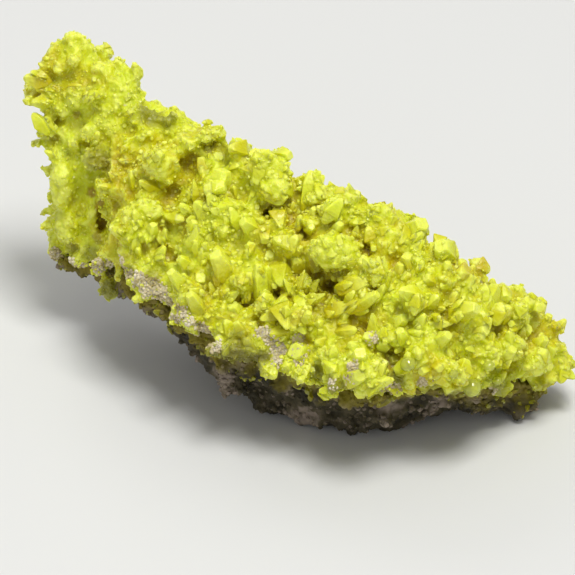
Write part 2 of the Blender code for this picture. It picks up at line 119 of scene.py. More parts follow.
# Crystals: pixel across, pixel down, half-width, half-length, way that the tip points in degrees
# (90 is up), degrees that it leans towards the camera, habit, twist in degrees.
CRYSTALS = (
    # blades at the tower's left edge, then the tower
    (38, 80, 10, 15, 172, 0, "blunt", 20), (43, 102, 8, 12, 185, 0, "blunt", 0),
    (41, 124, 9, 14, 128, 0, "blunt", 30), (52, 155, 4, 9, 150, 0, "blunt", 10),
    (74, 86, 3, 8, 5, 20, "prism", 0), (91, 96, 6, 9, 30, 40, "blunt", 15),
    (95, 138, 7, 11, 60, 50, "blunt", 45),
    # under the big drop
    (127, 161, 4, 9, 175, 20, "prism", 20), (133, 181, 6, 12, 100, 20, "prism", 40),
    (107, 187, 4, 10, 170, 25, "pyramid", 0), (113, 178, 4, 9, 130, 30, "pyramid", 30),
    (124, 196, 4, 10, 100, 35, "pyramid", 50), (138, 197, 4, 9, 70, 35, "pyramid", 20),
    (150, 186, 6, 13, 155, 20, "blunt", 10),
    # the spires and the block right of them
    (195, 195, 7, 17, 95, 20, "pyramid", 30), (187, 212, 7, 13, 130, 30, "blunt", 0),
    (220, 184, 13, 15, 75, 15, "block", 25), (213, 200, 9, 11, 120, 30, "blunt", 10),
    (250, 200, 4, 7, 80, 40, "blunt", 0),
    # the middle and the frill
    (234, 219, 9, 14, 110, 25, "blunt", 40), (250, 226, 9, 12, 150, 40, "block", 10),
    (291, 246, 11, 14, 60, 30, "blunt", 10), (300, 222, 6, 9, 90, 40, "blunt", 0),
    (313, 215, 6, 9, 80, 40, "block", 20), (326, 220, 6, 8, 70, 45, "blunt", 50),
    (337, 229, 7, 9, 60, 45, "block", 0),
    # the pillar and what is beside it
    (307, 193, 8, 22, 82, 5, "prism", 35), (293, 208, 4, 7, 90, 20, "blunt", 0),
    (365, 222, 4, 10, 20, 20, "prism", 10), (356, 233, 8, 10, 80, 40, "pyramid", 45),
    # tips on the skyline
    (310, 178, 6, 8, 85, 0, "blunt", 0), (356, 196, 5, 6, 60, 0, "block", 20),
    (346, 192, 4, 6, 70, 0, "blunt", 0), (417, 238, 6, 8, 50, 0, "block", 0),
    (446, 254, 5, 7, 45, 0, "block", 30), (471, 271, 5, 7, 60, 0, "blunt", 0),
    (492, 284, 5, 6, 80, 0, "blunt", 0), (268, 155, 5, 6, 90, 0, "blunt", 20),
    (286, 166, 5, 6, 40, 0, "blunt", 50),
    # the left slope
    (195, 243, 13, 21, 88, 30, "pyramid", 45), (224, 270, 13, 22, 120, 35, "block", 15),
    (180, 283, 9, 18, 130, 35, "block", 30), (197, 305, 9, 17, 125, 40, "block", 0),
    (213, 292, 6, 12, 110, 30, "blunt", 20), (231, 296, 7, 13, 35, 25, "pyramid", 0),
    # the front prism and the fan
    (260, 286, 10, 24, 95, 25, "prism", 30), (248, 292, 5, 12, 80, 20, "blunt", 0),
    (301, 286, 7, 18, 78, 25, "pyramid", 10), (290, 290, 7, 15, 120, 30, "pyramid", 40),
    (311, 289, 7, 15, 50, 30, "pyramid", 20), (314, 299, 7, 15, 25, 35, "pyramid", 60),
    (300, 303, 9, 12, 300, 50, "blunt", 0), (320, 284, 4, 8, 70, 20, "blunt", 30),
    # the spike and the slabs
    (354, 286, 12, 17, 20, 25, "block", 45), (369, 265, 6, 11, 130, 30, "prism", 0),
    (384, 276, 7, 21, 90, 15, "pyramid", 35), (378, 296, 8, 17, 60, 40, "blunt", 10),
    (362, 303, 8, 20, 30, 25, "block", 15), (338, 311, 11, 17, 15, 35, "block", 40),
    (344, 332, 9, 15, 10, 30, "blunt", 0), (399, 272, 8, 11, 75, 35, "block", 20),
    # the great facets and bright crystals
    (412, 294, 10, 15, 165, 25, "blunt", 10), (430, 303, 8, 13, 40, 30, "blunt", 50),
    (447, 268, 6, 7, 80, 35, "block", 0), (421, 266, 5, 7, 70, 35, "blunt", 30),
    # the right part
    (464, 311, 11, 16, 12, 35, "block", 30), (452, 300, 8, 11, 60, 30, "blunt", 0),
    (396, 325, 10, 16, 40, 45, "block", 60), (420, 322, 9, 13, 60, 45, "blunt", 20),
    (409, 361, 8, 11, 100, 35, "blunt", 45), (440, 340, 9, 14, 30, 45, "block", 10),
    (486, 326, 8, 12, 60, 40, "blunt", 30), (505, 315, 7, 11, 70, 35, "block", 0),
    (519, 335, 8, 12, 60, 40, "blunt", 70), (505, 357, 9, 15, 45, 40, "block", 20),
    (538, 345, 8, 12, 40, 30, "block", 40), (560, 326, 6, 9, 50, 0, "blunt", 0),
    (568, 374, 6, 9, 330, 0, "blunt", 30),
    # the front
    (334, 356, 7, 12, 95, 30, "prism", 0), (358, 351, 7, 15, 135, 35, "prism", 30),
    (310, 364, 5, 7, 270, 30, "blunt", 0), (287, 313, 7, 10, 100, 45, "blunt", 20),
    (306, 318, 6, 9, 60, 45, "block", 30), (380, 372, 7, 12, 60, 35, "blunt", 10),
    # the left lobe and the drop
    (137, 219, 8, 12, 110, 40, "blunt", 20), (118, 232, 7, 12, 150, 35, "blunt", 60),
    (152, 232, 7, 11, 80, 45, "block", 10), (136, 245, 8, 12, 100, 40, "blunt", 0),
    (160, 255, 8, 13, 60, 40, "blunt", 30), (165, 236, 6, 10, 90, 40, "blunt", 50),
    (158, 158, 9, 12, 60, 60, "blunt", 20),
)

# Rounded see-through crystals: pixel across, pixel down, half-width, half-height, turn in degrees.
CLEAR = (
    (472, 388, 10, 10, 0), (408, 364, 9, 8, 20), (489, 366, 7, 6, 0), (497, 381, 6, 5, 0),
    (454, 374, 5, 5, 30),
)

# Hollows pressed into the lumps: pixel across, pixel down, radius, depth in millimetres.
HOLLOWS = (
    (100, 222, 9, 1.0), (77, 114, 6, 2.0), (70, 74, 9, 1.2), (178, 179, 11, 0.8), (174, 192, 9, 2.0),
    (200, 152, 14, 2.0), (222, 156, 14, 2.5), (245, 187, 4, 4.0), (260, 204, 6, 1.0),
    (271, 209, 6, 1.2), (282, 213, 6, 1.0), (275, 271, 5, 4.0), (286, 272, 5, 4.5), (297, 272, 5, 4.0),
    (331, 286, 9, 3.5), (318, 277, 7, 3.0), (282, 302, 8, 3.5), (248, 302, 5, 3.0), (279, 320, 5, 2.0),
    (392, 358, 12, 1.8), (376, 350, 8, 1.5), (173, 258, 9, 1.5), (208, 238, 8, 1.2), (207, 262, 6, 1.2),
    (300, 232, 5, 2.0), (346, 206, 5, 2.0), (368, 250, 6, 3.0), (440, 283, 9, 1.5), (430, 262, 7, 1.0),
    (486, 305, 8, 1.5), (497, 330, 9, 1.0), (120, 207, 8, 2.5), (165, 222, 7, 1.2), (322, 296, 5, 3.0),
    (430, 322, 5, 1.5), (522, 352, 8, 1.5), (400, 308, 6, 1.5), (368, 330, 8, 2.0), (258, 322, 7, 1.5),
    (310, 348, 6, 2.0), (345, 345, 6, 2.0),
)

# Calm places, where the crystals are large and flush: pixel across, pixel down, radius.
CALM = (
    (60, 165, 14), (62, 190, 16), (64, 215, 14), (162, 164, 18), (277, 190, 12), (322, 258, 18),
    (345, 256, 16), (126, 250, 12), (362, 303, 14), (413, 300, 20), (464, 313, 15), (545, 366, 16),
    (440, 350, 16), (190, 298, 16), (224, 268, 16), (195, 243, 13), (354, 286, 12), (300, 292, 12),
    (150, 118, 8), (225, 150, 12),
)

# Places painted dull olive as shade: pixel across, pixel down, radius, strength.
OLIVE_SHADE_SPOTS = (
    (150, 112, 14, 0.75), (166, 119, 11, 0.75), (98, 159, 15, 0.65), (205, 146, 14, 0.35),
    (228, 154, 12, 0.35), (128, 110, 10, 0.25), (72, 250, 10, 0.5), (92, 254, 10, 0.6),
    (110, 262, 9, 0.8), (128, 262, 10, 0.5), (109, 290, 12, 0.9), (152, 276, 9, 0.5),
    (215, 354, 12, 0.9), (238, 358, 18, 1.0), (262, 360, 14, 1.0), (238, 344, 16, 0.5),
    (318, 374, 9, 0.7), (330, 386, 10, 0.8), (346, 387, 12, 0.7), (372, 388, 14, 0.8),
    (396, 380, 10, 0.8), (358, 374, 8, 0.4), (430, 388, 10, 0.6), (455, 396, 12, 0.8),
    (480, 391, 10, 0.6), (500, 393, 13, 0.7), (524, 393, 12, 0.6), (545, 388, 9, 0.4),
    (60, 225, 12, 0.25), (70, 190, 14, 0.25), (388, 358, 10, 0.5), (325, 270, 14, 0.3),
    (285, 322, 10, 0.4), (166, 290, 8, 0.4), (186, 318, 8, 0.4),
)

# Places in the recesses painted brown as shade: pixel across, pixel down, radius, strength.
BROWN_SHADE_SPOTS = (
    (100, 206, 11, 0.95), (102, 224, 12, 1.0), (98, 238, 9, 0.8), (92, 192, 7, 0.95), (77, 115, 6, 0.8),
    (70, 75, 10, 0.62), (66, 98, 8, 0.55), (120, 150, 7, 0.5), (116, 207, 7, 0.7), (128, 205, 6, 0.6),
    (188, 158, 10, 0.8), (196, 170, 9, 0.7), (178, 182, 10, 0.72), (168, 190, 9, 0.7),
    (190, 178, 8, 0.7), (200, 150, 12, 0.6), (222, 158, 11, 0.6), (246, 196, 8, 0.7),
    (258, 204, 8, 0.6), (270, 209, 9, 0.65), (283, 212, 8, 0.65), (292, 200, 6, 0.62),
    (275, 271, 6, 0.85), (286, 272, 6, 0.9), (297, 270, 6, 0.85), (331, 286, 10, 0.95),
    (322, 276, 9, 0.7), (345, 272, 10, 0.6), (282, 303, 9, 0.72), (248, 303, 6, 0.72),
    (279, 323, 7, 0.6), (298, 309, 6, 0.5), (388, 352, 9, 0.8), (392, 364, 11, 0.9), (378, 350, 9, 0.7),
    (173, 258, 9, 0.6), (178, 240, 7, 0.6), (208, 240, 8, 0.6), (240, 245, 8, 0.55), (346, 210, 7, 0.6),
    (370, 248, 8, 0.66), (300, 234, 7, 0.6), (440, 283, 8, 0.6), (430, 262, 6, 0.6), (486, 305, 7, 0.6),
    (497, 330, 9, 0.6), (430, 322, 8, 0.55), (366, 332, 9, 0.62), (345, 345, 8, 0.6),
    (312, 350, 8, 0.6), (520, 352, 8, 0.55), (152, 198, 8, 0.62), (165, 222, 6, 0.6),
    (112, 250, 8, 0.6), (358, 318, 8, 0.6),
)

# Habits of the crystals: how far out each family of faces lies. The main dipyramid is cut at its tips
# by the blunter one (3 would leave them), by the flat top (1 would), by the side domes (1 would) and
# at its waist by the prism (1 would).
HABITS = {
    "pyramid": {"shoulder": 2.6, "top": 0.84, "dome": 0.97, "prism": 0.96},
    "blunt": {"shoulder": 2.0, "top": 0.62, "dome": 0.90, "prism": 0.92},
    "block": {"shoulder": 2.2, "top": 0.42, "dome": 0.80, "prism": 0.85},
    "prism": {"shoulder": 2.6, "top": 0.78, "dome": 0.90, "prism": 0.60},
}
MIXED = ("blunt", "block", "blunt", "pyramid")
AXIS_A = 0.81  # sulfur is orthorhombic: its a axis is shorter than its b axis

# Grey-pink crumbs of the host rock on the sulfur: pixel across, pixel down, radius.
CRUMBS = (
    (55, 256, 7), (66, 264, 8), (84, 266, 7), (98, 266, 8), (110, 262, 7), (122, 262, 6), (127, 272, 7),
    (137, 280, 9), (149, 287, 10), (160, 293, 9), (172, 303, 8), (182, 312, 7), (190, 320, 6),
    (204, 331, 9), (210, 341, 8), (262, 333, 7), (272, 338, 8), (279, 350, 8), (276, 361, 6),
    (297, 338, 8), (300, 351, 9), (301, 363, 6), (352, 367, 7), (350, 378, 7), (330, 384, 6),
    (176, 318, 6), (196, 326, 7), (216, 346, 6), (492, 398, 9), (508, 408, 9), (522, 412, 8),
    (392, 386, 9), (424, 382, 7), (372, 338, 7),
)

# Faint dusting of the same: pixel across, pixel down, radius, strength.
DUST = ((128, 104, 8, 0.42), (133, 116, 7, 0.42), (125, 94, 6, 0.4), (162, 126, 6, 0.4))

# Lumps of the rock under the sulfur: pixel across, pixel down, half-width, half-height.
ROCK_LUMPS = (
    (70, 264, 12, 12), (84, 272, 10, 9), (99, 271, 9, 8), (132, 288, 12, 11), (147, 300, 13, 11),
    (165, 312, 12, 10), (182, 326, 11, 9), (197, 339, 9, 8), (210, 352, 9, 8), (222, 366, 10, 9),
    (227, 379, 12, 10), (241, 389, 10, 8), (259, 396, 12, 11), (276, 404, 12, 10), (295, 411, 13, 9),
    (250, 372, 14, 10), (280, 384, 16, 12), (321, 396, 12, 14), (325, 414, 11, 9), (341, 424, 13, 9),
    (362, 427, 14, 9), (350, 400, 16, 12), (384, 418, 13, 9), (380, 396, 16, 11), (404, 408, 12, 9),
    (424, 402, 12, 8), (445, 400, 14, 8), (470, 400, 15, 8), (495, 402, 15, 8), (516, 411, 11, 9),
    (533, 406, 8, 9), (508, 392, 14, 8), (416, 390, 14, 9),
)


def plane_point(pixel):
    """The point where a pixel's line of sight crosses the plane that faces the camera."""
    right = (pixel[0] - FRONT_PIXEL[0]) * PIXEL
    up = (FRONT_PIXEL[1] - pixel[1]) * PIXEL
    return FRONT_POINT + VIEW_RIGHT * right + VIEW_UP * up


def across_view(angle):
    """The direction at this angle in the plane that faces the camera: 0 is right, a quarter turn is up."""
    return VIEW_RIGHT * math.cos(angle) + VIEW_UP * math.sin(angle)


EYE = plane_point((PHOTO_SIDE / 2.0, PHOTO_SIDE / 2.0)) + VIEW_BACK * CAMERA_DISTANCE


def seat_at(tree, pixel):
    """Where a pixel's line of sight meets the surface, or passes nearest to it, and the way back."""
    target = plane_point(pixel)
    way = (target - EYE).normalized()
    hit = tree.ray_cast(EYE, way)[0]
    if hit is None:
        steps = [target + way * (step * 2.0 * MM) for step in range(-25, 30)]
        hit = min(steps, key=lambda point: tree.find_nearest(point)[3])
    return hit, -way


# ---------------------------------------------------------------- meshes


def mesh_object(name, vertices, triangles, smooth=False):
    mesh = bpy.data.meshes.new(name)
    mesh.vertices.add(len(vertices))
    mesh.vertices.foreach_set("co", np.asarray(vertices, np.float32).ravel())
    mesh.loops.add(len(triangles) * 3)
    mesh.loops.foreach_set("vertex_index", np.asarray(triangles, np.int32).ravel())
    mesh.polygons.add(len(triangles))
    mesh.polygons.foreach_set("loop_start", np.arange(0, len(triangles) * 3, 3, dtype=np.int32))
    mesh.polygons.foreach_set("use_smooth", np.full(len(triangles), smooth))
    mesh.update(calc_edges=True)
    thing = bpy.data.objects.new(name, mesh)
    bpy.context.scene.collection.objects.link(thing)
    return thing


def arrays_of(thing):
    """Vertices and triangles of an object's mesh."""
    mesh = thing.data
    vertices = np.empty(len(mesh.vertices) * 3)
    mesh.vertices.foreach_get("co", vertices)
    mesh.calc_loop_triangles()
    triangles = np.empty(len(mesh.loop_triangles) * 3, np.int32)
    mesh.loop_triangles.foreach_get("vertices", triangles)
    return vertices.reshape(-1, 3), triangles.reshape(-1, 3)


def normals_of(thing):
    normals = np.empty(len(thing.data.vertices) * 3)
    thing.data.vertex_normals.foreach_get("vector", normals)
    return normals.reshape(-1, 3)


def joined(pieces):
    """One pair of vertices and triangles from many."""
    starts = np.cumsum([0] + [len(vertices) for vertices, _ in pieces])
    vertices = np.concatenate([vertices for vertices, _ in pieces])
    triangles = np.concatenate([faces + start for (_, faces), start in zip(pieces, starts)])
    return vertices, triangles


def bake(thing, kind, **settings):
    """Adds one modifier with these settings and applies it."""
    modifier = thing.modifiers.new(kind, kind)
    for setting, value in settings.items():
        setattr(modifier, setting, value)
    evaluated = thing.evaluated_get(bpy.context.evaluated_depsgraph_get())
    mesh = bpy.data.meshes.new_from_object(evaluated)
    thing.modifiers.clear()
    thing.data = mesh


def move_vertices(thing, places):
    thing.data.vertices.foreach_set("co", np.asarray(places, np.float32).ravel())
    thing.data.update()


def shade_faces(thing, smooth):
    thing.data.polygons.foreach_set("use_smooth", np.full(len(thing.data.polygons), smooth))


def tree_of(thing):
    vertices, triangles = arrays_of(thing)
    return BVHTree.FromPolygons(vertices.tolist(), triangles.tolist())


def node_arrays(node):
    """A CAD node's mesh with its split corners welded."""
    builder = bmesh.new()
    builder.from_mesh(node.data)
    bmesh.ops.remove_doubles(builder, verts=builder.verts, dist=0.01 * MM)
    bmesh.ops.triangulate(builder, faces=builder.faces)
    return builder_arrays(builder)


def builder_arrays(builder):
    builder.verts.index_update()
    vertices = np.array([vertex.co for vertex in builder.verts])
    triangles = np.array([[vertex.index for vertex in face.verts] for face in builder.faces])
    builder.free()
    return vertices, triangles


def set_attribute(thing, name, values):
    attribute = thing.data.attributes.new(name, "FLOAT", "POINT")
    attribute.data.foreach_set("value", np.asarray(values, np.float32))


def laid_out(shapes, triangles, turns, centres):
    """Vertices and triangles of many shapes with the same triangles, each turned and moved to its place."""
    placed = np.einsum("nij,nvj->nvi", turns, shapes) + centres[:, None, :]
    offsets = np.arange(len(shapes)) * shapes.shape[1]
    faces = (triangles[None] + offsets[:, None, None]).reshape(-1, 3)
    return placed.reshape(-1, 3), faces


def unit(vectors):
    return vectors / np.linalg.norm(vectors, axis=1)[:, None]


# ---------------------------------------------------------------- shapes


def ball(rounds):
    """A ball of radius 1, cut finer with more rounds."""
    builder = bmesh.new()
    bmesh.ops.create_icosphere(builder, subdivisions=rounds, radius=1.0)
    return builder_arrays(builder)


def ellipsoid(centre, axes, radii):
    vertices, triangles = ball(3)
    return (vertices * radii) @ np.array(axes) + np.array(centre), triangles


def view_lump(tree, place, turn=0.0, lift=0.0):
    """An ellipsoid on the surface, seen at this pixel with these half-sizes."""
    across, down, half_width, half_height = place
    seat, back = seat_at(tree, (across, down))
    side = across_view(turn)
    up = back.cross(side)
    depth = (half_width + half_height) / 2.0 * 0.8
    centre = seat + back * (depth * (lift - 0.3) * PIXEL)
    return ellipsoid(centre, (side, up, back), np.array((half_width, half_height, depth)) * PIXEL)


def crystal_template(habit, bevel, foot=1.0):
    """A crystal cut from a block by its face planes, with half-sizes of 1 across and 1 along Z.

    Below the waist it is cut off flat at the foot, for crystals that are sunk in the mass.
    """
    faces = [(Vector((0.0, 0.0, -1.0)), foot)]
    for x in (-1.0, 1.0):
        for y in (-1.0, 1.0):
            for z in (-1.0, 1.0):
                faces.append((Vector((x / AXIS_A, y, z)), 1.0))
                faces.append((Vector((x / AXIS_A, y, z * 3.0)), habit["shoulder"]))
            faces.append((Vector((x / AXIS_A, y, 0.0)), habit["prism"]))
    for z in (-1.0, 1.0):
        faces.append((Vector((0.0, 0.0, z)), habit["top"]))
        for y in (-1.0, 1.0):
            faces.append((Vector((0.0, y, z)), habit["dome"]))
    builder = bmesh.new()
    bmesh.ops.create_cube(builder, size=4.0)
    for normal, reach in faces:
        cut = bmesh.ops.bisect_plane(
            builder,
            geom=builder.verts[:] + builder.edges[:] + builder.faces[:],
            plane_co=normal * (reach / normal.length_squared),
            plane_no=normal,
            clear_outer=True,
        )
        rim = [item for item in cut["geom_cut"] if isinstance(item, bmesh.types.BMEdge)]
        if rim:
            bmesh.ops.contextual_create(builder, geom=rim)
    bmesh.ops.remove_doubles(builder, verts=builder.verts, dist=0.004)
    if bevel:
        bmesh.ops.bevel(builder, geom=builder.edges[:], offset=bevel, segments=1, affect="EDGES")
    bmesh.ops.recalc_face_normals(builder, faces=builder.faces)
    bmesh.ops.triangulate(builder, faces=builder.faces)
    vertices, triangles = builder_arrays(builder)
    across = np.linalg.norm(vertices[:, :2], axis=1).max()
    return vertices / (across, across, vertices[:, 2].max()), triangles


SHARP = {name: crystal_template(habit, 0.0) for name, habit in HABITS.items()}
BEVELLED = {name: crystal_template(habit, 0.03) for name, habit in HABITS.items()}
HALVES = {name: crystal_template(habit, 0.03, 0.05) for name, habit in HABITS.items()}
TIPS = {name: crystal_template(habit, 0.0, 0.2) for name, habit in HABITS.items()}


def turns_towards(axes, twists):
    """Rotation matrices whose Z follows the axes, with these twists about it."""
    side = unit(np.cross(axes, np.array([0.31, 0.52, 0.79])))
    other = np.cross(axes, side)
    c, s = np.cos(twists)[:, None], np.sin(twists)[:, None]
    return np.stack((side * c + other * s, other * c - side * s, axes), axis=2)


class Crystals:
    """A group of crystals: where each is, the way its tip points, its half-sizes, twist and habit."""

    def __init__(self, centres, axes, widths, lengths, names, dice, twists=None, foot=0.0):
        number = len(centres)
        self.foot = foot
        self.centres = np.array(centres)
        self.axes = unit(np.array(axes))
        self.sizes = np.stack((widths, widths, lengths), axis=1)
        self.names = np.array(names)
        self.tints = dice.random(number)
        self.twists = dice.uniform(0.0, math.pi, number) if twists is None else np.array(twists)

    def arrays(self, templates, scale=1.0):
        """Vertices and triangles, then each vertex's tint and its height between foot and tip."""
        turns = turns_towards(self.axes, self.twists)
        pieces, tints, heights = [], [], []
        for name in sorted(templates):
            mine = np.nonzero(self.names == name)[0]
            if len(mine) == 0:
                continue
            vertices, triangles = templates[name]
            sized = vertices[None] * (self.sizes[mine] * scale)[:, None, :]
            pieces.append(laid_out(sized, triangles, turns[mine], self.centres[mine]))
            tints.append(np.repeat(self.tints[mine], len(vertices)))
            height = (vertices[:, 2] - self.foot) / (1.0 - self.foot)
            heights.append(np.tile(np.clip(height, 0.0, 1.0), len(mine)))
        return joined(pieces), np.concatenate(tints), np.concatenate(heights)

    def per_crystal_least(self, templates, values):
        """For each vertex in the order of arrays, the least value among its crystal's vertices."""
        least, start = [], 0
        for name in sorted(templates):
            number = np.count_nonzero(self.names == name)
            size = len(templates[name][0])
            block = values[start : start + number * size].reshape(number, size)
            least.append(np.repeat(block.min(axis=1), size))
            start += number * size
        return np.concatenate(least)


# Shares of the body's painted shade that the crisp crystals take, and painted shade added at their feet,
# fading towards their tips.
BODY_SHADE = {"gap_shade": 0.85, "recess_shade": 0.5}
FOOT_SHADE = {"gap_shade": 0.35, "recess_shade": 0.0}


def crisp_object(name, crystals, templates, near, shares):
    """The crystals as one flat-faced mesh, with the painted shade and olive shares that the body has under
    them, and a painted highlight towards their tips.
    """
    arrays, tints, heights = crystals.arrays(templates)
    thing = mesh_object(name, *arrays)
    set_attribute(thing, "tint", tints)
    # Painted highlight: paler towards each crystal's tip.
    set_attribute(thing, "stand", 0.18 * heights)
    nearest = nearest_in(near, arrays[0])
    set_attribute(thing, "olive_shade", shares["olive_shade"][nearest])
    # Painted shade: the body's gap and recess shade under each crystal, mostly its least, and more at its
    # foot.
    for share in ("gap_shade", "recess_shade"):
        own = shares[share][nearest]
        level = 0.25 * own + 0.75 * crystals.per_crystal_least(templates, own)
        set_attribute(thing, share, level * BODY_SHADE[share] + FOOT_SHADE[share] * (1.0 - heights))
    set_attribute(thing, "crumbs", np.zeros(len(tints)))
    return thing


def tree_of_points(points):
    tree = KDTree(len(points))
    for place, point in enumerate(points):
        tree.insert(point, place)
    tree.balance()
    return tree


def nearest_in(tree, points):
    """For each point, the index of the nearest one in the tree."""
    return [tree.find(point)[1] for point in points]


def seats_on(thing, spacing, tries, dice, keep=None):
    """Evenly spread points on a mesh, with the normals there."""
    vertices, triangles = arrays_of(thing)
    corners = vertices[triangles]
    cross = np.cross(corners[:, 1] - corners[:, 0], corners[:, 2] - corners[:, 0])
    area = np.linalg.norm(cross, axis=1)
    chosen = dice.choice(len(triangles), size=tries, p=area / area.sum())
    u, v = dice.random(tries), dice.random(tries)
    flip = u + v > 1.0
    u[flip], v[flip] = 1.0 - u[flip], 1.0 - v[flip]
    picked = corners[chosen]
    points = picked[:, 0] + (picked[:, 1] - picked[:, 0]) * u[:, None]
    points += (picked[:, 2] - picked[:, 0]) * v[:, None]
    normals = cross[chosen] / np.maximum(area[chosen], 1e-18)[:, None]
    if keep is not None:
        wanted = keep(points, normals)
        points, normals = points[wanted], normals[wanted]
    spread = spread_out(points, spacing)
    return points[spread], normals[spread]


def spread_out(points, spacing):
    """Indices of points that keep at least the spacing from those kept before them."""
    cells = {}
    kept = []
    around = [(x, y, z) for x in (-1, 0, 1) for y in (-1, 0, 1) for z in (-1, 0, 1)]
    limit = spacing * spacing
    keys = np.floor(points / spacing).astype(int).tolist()
    for place, ((kx, ky, kz), (px, py, pz)) in enumerate(zip(keys, points.tolist())):
        crowded = False
        for x, y, z in around:
            for ox, oy, oz in cells.get((kx + x, ky + y, kz + z), ()):
                if (px - ox) ** 2 + (py - oy) ** 2 + (pz - oz) ** 2 < limit:
                    crowded = True
        if not crowded:
            cells.setdefault((kx, ky, kz), []).append((px, py, pz))
            kept.append(place)
    return np.array(kept, int)


def noise_of(points, per_metre, offset=0.0):
    shift = Vector((offset, offset, offset))
    return np.array([noise.noise(Vector(point) * per_metre + shift) for point in points.tolist()])


def cells_of(points, per_metre):
    """Distance to the nearest cell centre: 0 in the middle of a lump, about 1 between lumps."""
    return np.array([noise.voronoi(Vector(point) * per_metre)[0][0] for point in points.tolist()])


def hidden_share(tree, points, normals, reach, rays):
    """Share of the sky over each point that the surface hides within reach."""
    golden = math.pi * (3.0 - math.sqrt(5.0))
    heights = 1.0 - (np.arange(rays) + 0.5) / rays * 0.9
    spans = np.sqrt(1.0 - heights * heights)
    angles = np.arange(rays) * golden
    side = unit(np.cross(normals, np.array([0.31, 0.52, 0.79])))
    other = np.cross(normals, side)
    starts = points + normals * (0.12 * MM)
    hits = np.zeros(len(points))
    cast = tree.ray_cast
    starts = [Vector(start) for start in starts.tolist()]
    for height, span, angle in zip(heights, spans, angles):
        ways = normals * height + side * (span * math.cos(angle)) + other * (span * math.sin(angle))
        hits += [cast(start, way, reach)[0] is not None for start, way in zip(starts, ways.tolist())]
    return hits / rays


def smoothed(thing, values, rounds):
    """Values of the vertices, each mixed with its neighbours' this many times."""
    edges = np.empty(len(thing.data.edges) * 2, np.int32)
    thing.data.edges.foreach_get("vertices", edges)
    first, second = edges.reshape(-1, 2).T
    number = len(values)
    count = np.bincount(first, minlength=number) + np.bincount(second, minlength=number)
    count = np.maximum(count, 1)[:, None]
    level = values.reshape(number, -1).copy()
    for _ in range(rounds):
        total = np.zeros_like(level)
        for column in range(level.shape[1]):
            total[:, column] = np.bincount(first, level[second, column], number)
            total[:, column] += np.bincount(second, level[first, column], number)
        level = 0.5 * level + 0.5 * total / count
    return level.reshape(values.shape)


def bulge(thing, rounds):
    """How far each vertex stands out from its surroundings, in mm."""
    vertices, _ = arrays_of(thing)
    stand = np.sum((vertices - smoothed(thing, vertices, rounds)) * normals_of(thing), axis=1)
    return smoothed(thing, stand / MM, 1)


# ---------------------------------------------------------------- materials


# Yellows of the sulfur, by patch; then the painted highlight of its tips, the painted shade of its gaps,
# recesses and olive places, and its dusting.
YELLOWS = (
    (0.32, (0.63, 0.53, 0.008)),
    (0.46, (0.68, 0.64, 0.009)),
    (0.62, (0.70, 0.74, 0.015)),
    (0.86, (0.75, 0.83, 0.045)),
)
PAINTED_TIP_HIGHLIGHT = (0.87, 0.93, 0.16)
AMBER_GAP_SHADE = (0.57, 0.46, 0.007)
BROWN_RECESS_SHADE = (0.38, 0.25, 0.012)
OLIVE_SHADE_COLOUR = (0.17, 0.15, 0.010)
DUSTING = (0.62, 0.53, 0.36)
CHALKS = (
    (0.40, (0.32, 0.26, 0.08)),
    (0.55, (0.58, 0.49, 0.25)),
    (0.72, (0.76, 0.67, 0.45)),
    (0.95, (0.90, 0.83, 0.66)),
)
STONES = (
    (0.34, (0.016, 0.012, 0.005)),
    (0.47, (0.038, 0.031, 0.009)),
    (0.56, (0.085, 0.068, 0.032)),
    (0.66, (0.270, 0.215, 0.165)),
)
STONE_RECESS_SHADE = (0.035, 0.028, 0.012)
SULFUR_STAIN = (0.25, 0.205, 0.014)


